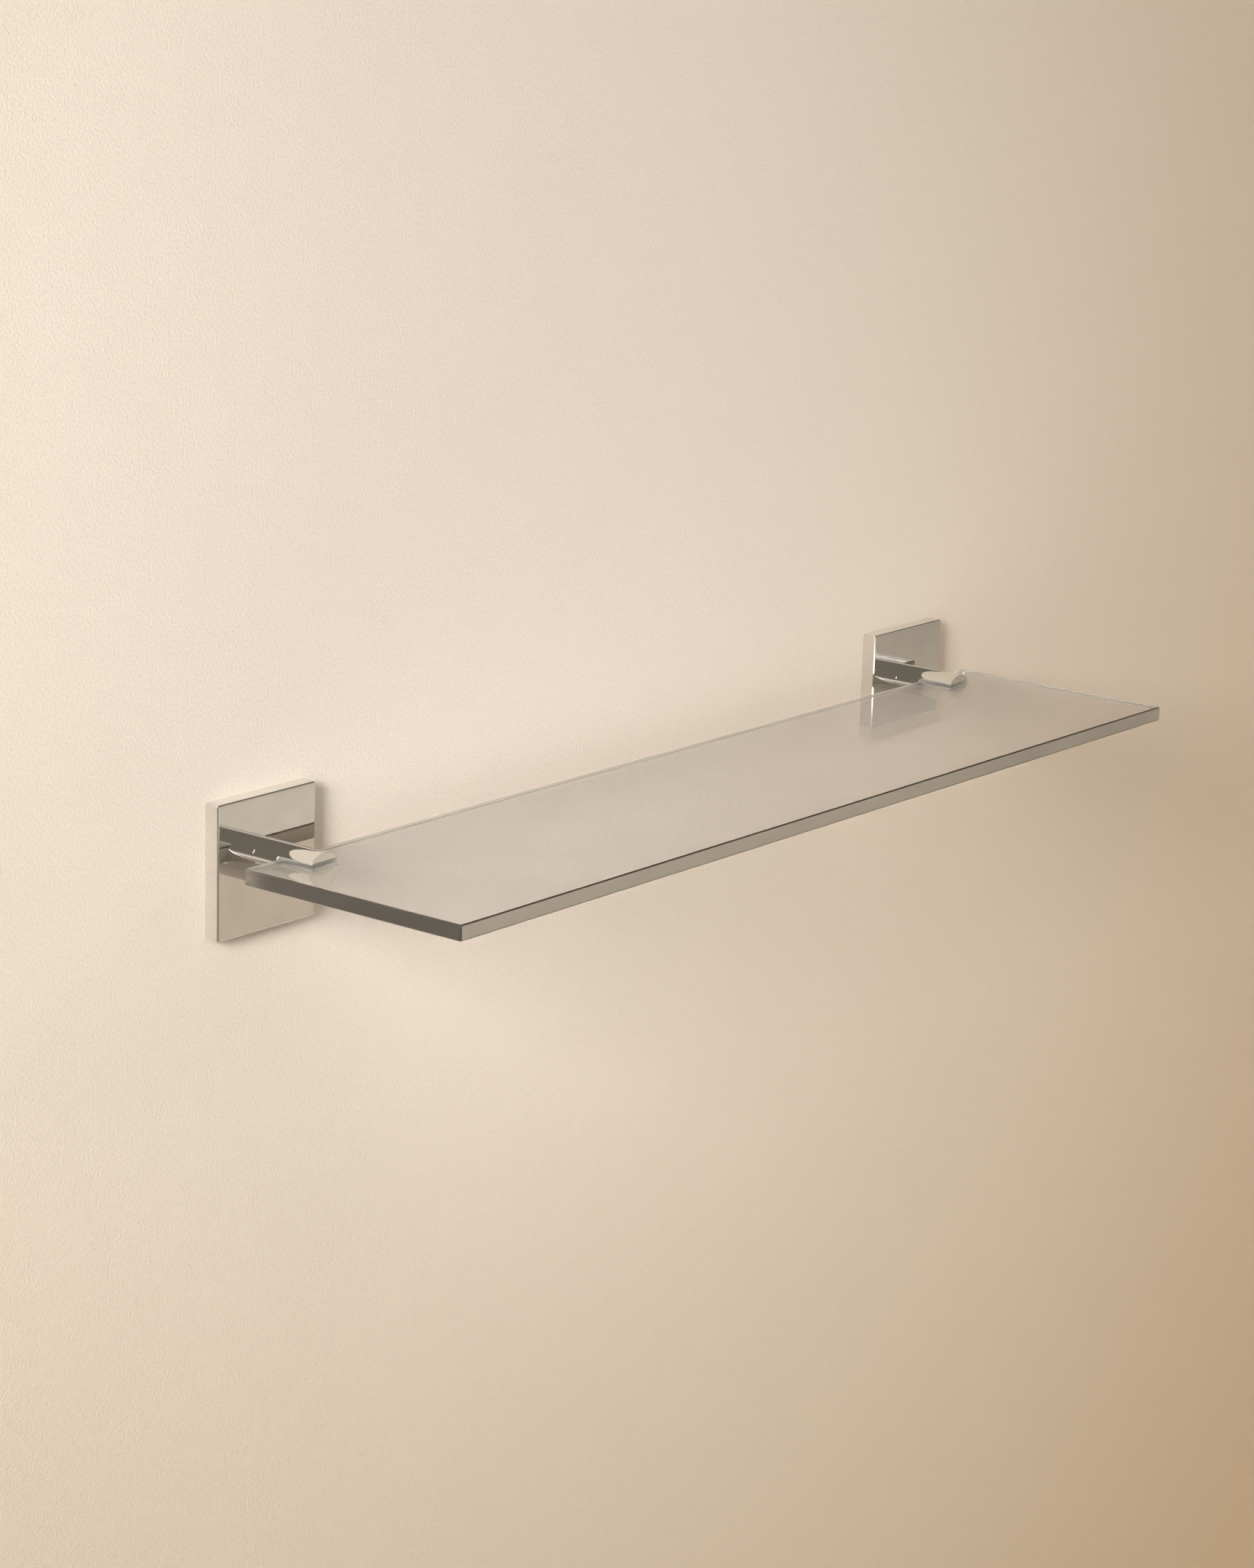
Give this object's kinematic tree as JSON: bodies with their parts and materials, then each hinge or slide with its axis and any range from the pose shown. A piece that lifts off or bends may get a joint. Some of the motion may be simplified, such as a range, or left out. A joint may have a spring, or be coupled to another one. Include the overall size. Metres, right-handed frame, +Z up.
{
  "type": "glass wall shelf",
  "caption": "Clear glass shelf panel gripped at its back edge by slotted round posts on square polished-chrome wall flanges with concealed fixings.",
  "frame": {"origin": "on the wall's face, midway between the two brackets, at the height of the arms' axes", "axes": "+X to the right along the wall, +Y into the wall, +Z up; the glass reaches towards -Y"},
  "size_m": [0.4572, 0.1531, 0.0508],
  "materials": {
    "clear_glass": "clear tempered float glass, 6 mm, polished and arrised edges",
    "polished_chrome": "mirror-polished chrome plate on brass",
    "zinc_steel": "bright zinc-plated steel, satin",
    "stainless_steel": "machined stainless steel",
    "clear_vinyl": "clear soft vinyl strip",
    "grey_nylon": "moulded grey nylon"
  },
  "bodies": {
    "brackets": {"left_cover_plate": "polished_chrome", "left_arm": "polished_chrome", "left_arm_screw": "zinc_steel", "left_arm_washer": "zinc_steel", "left_glass_liner": "clear_vinyl", "left_clamp_screw": "stainless_steel", "left_backing_plate": "zinc_steel", "left_cover_grub_screw": "stainless_steel", "left_wall_screw_upper": "zinc_steel", "left_wall_screw_lower": "zinc_steel", "left_wall_plug_upper": "grey_nylon", "left_wall_plug_lower": "grey_nylon", "right_cover_plate": "polished_chrome", "right_arm": "polished_chrome", "right_arm_screw": "zinc_steel", "right_arm_washer": "zinc_steel", "right_glass_liner": "clear_vinyl", "right_clamp_screw": "stainless_steel", "right_backing_plate": "zinc_steel", "right_cover_grub_screw": "stainless_steel", "right_wall_screw_upper": "zinc_steel", "right_wall_screw_lower": "zinc_steel", "right_wall_plug_upper": "grey_nylon", "right_wall_plug_lower": "grey_nylon"},
    "glass": {"glass_panel": "clear_glass"}
  },
  "joints": [
    {"name": "glass_slide", "type": "slide", "parent": "brackets", "child": "glass", "axis": [0, -1, 0], "range_m": [0, 0.018]}
  ]
}
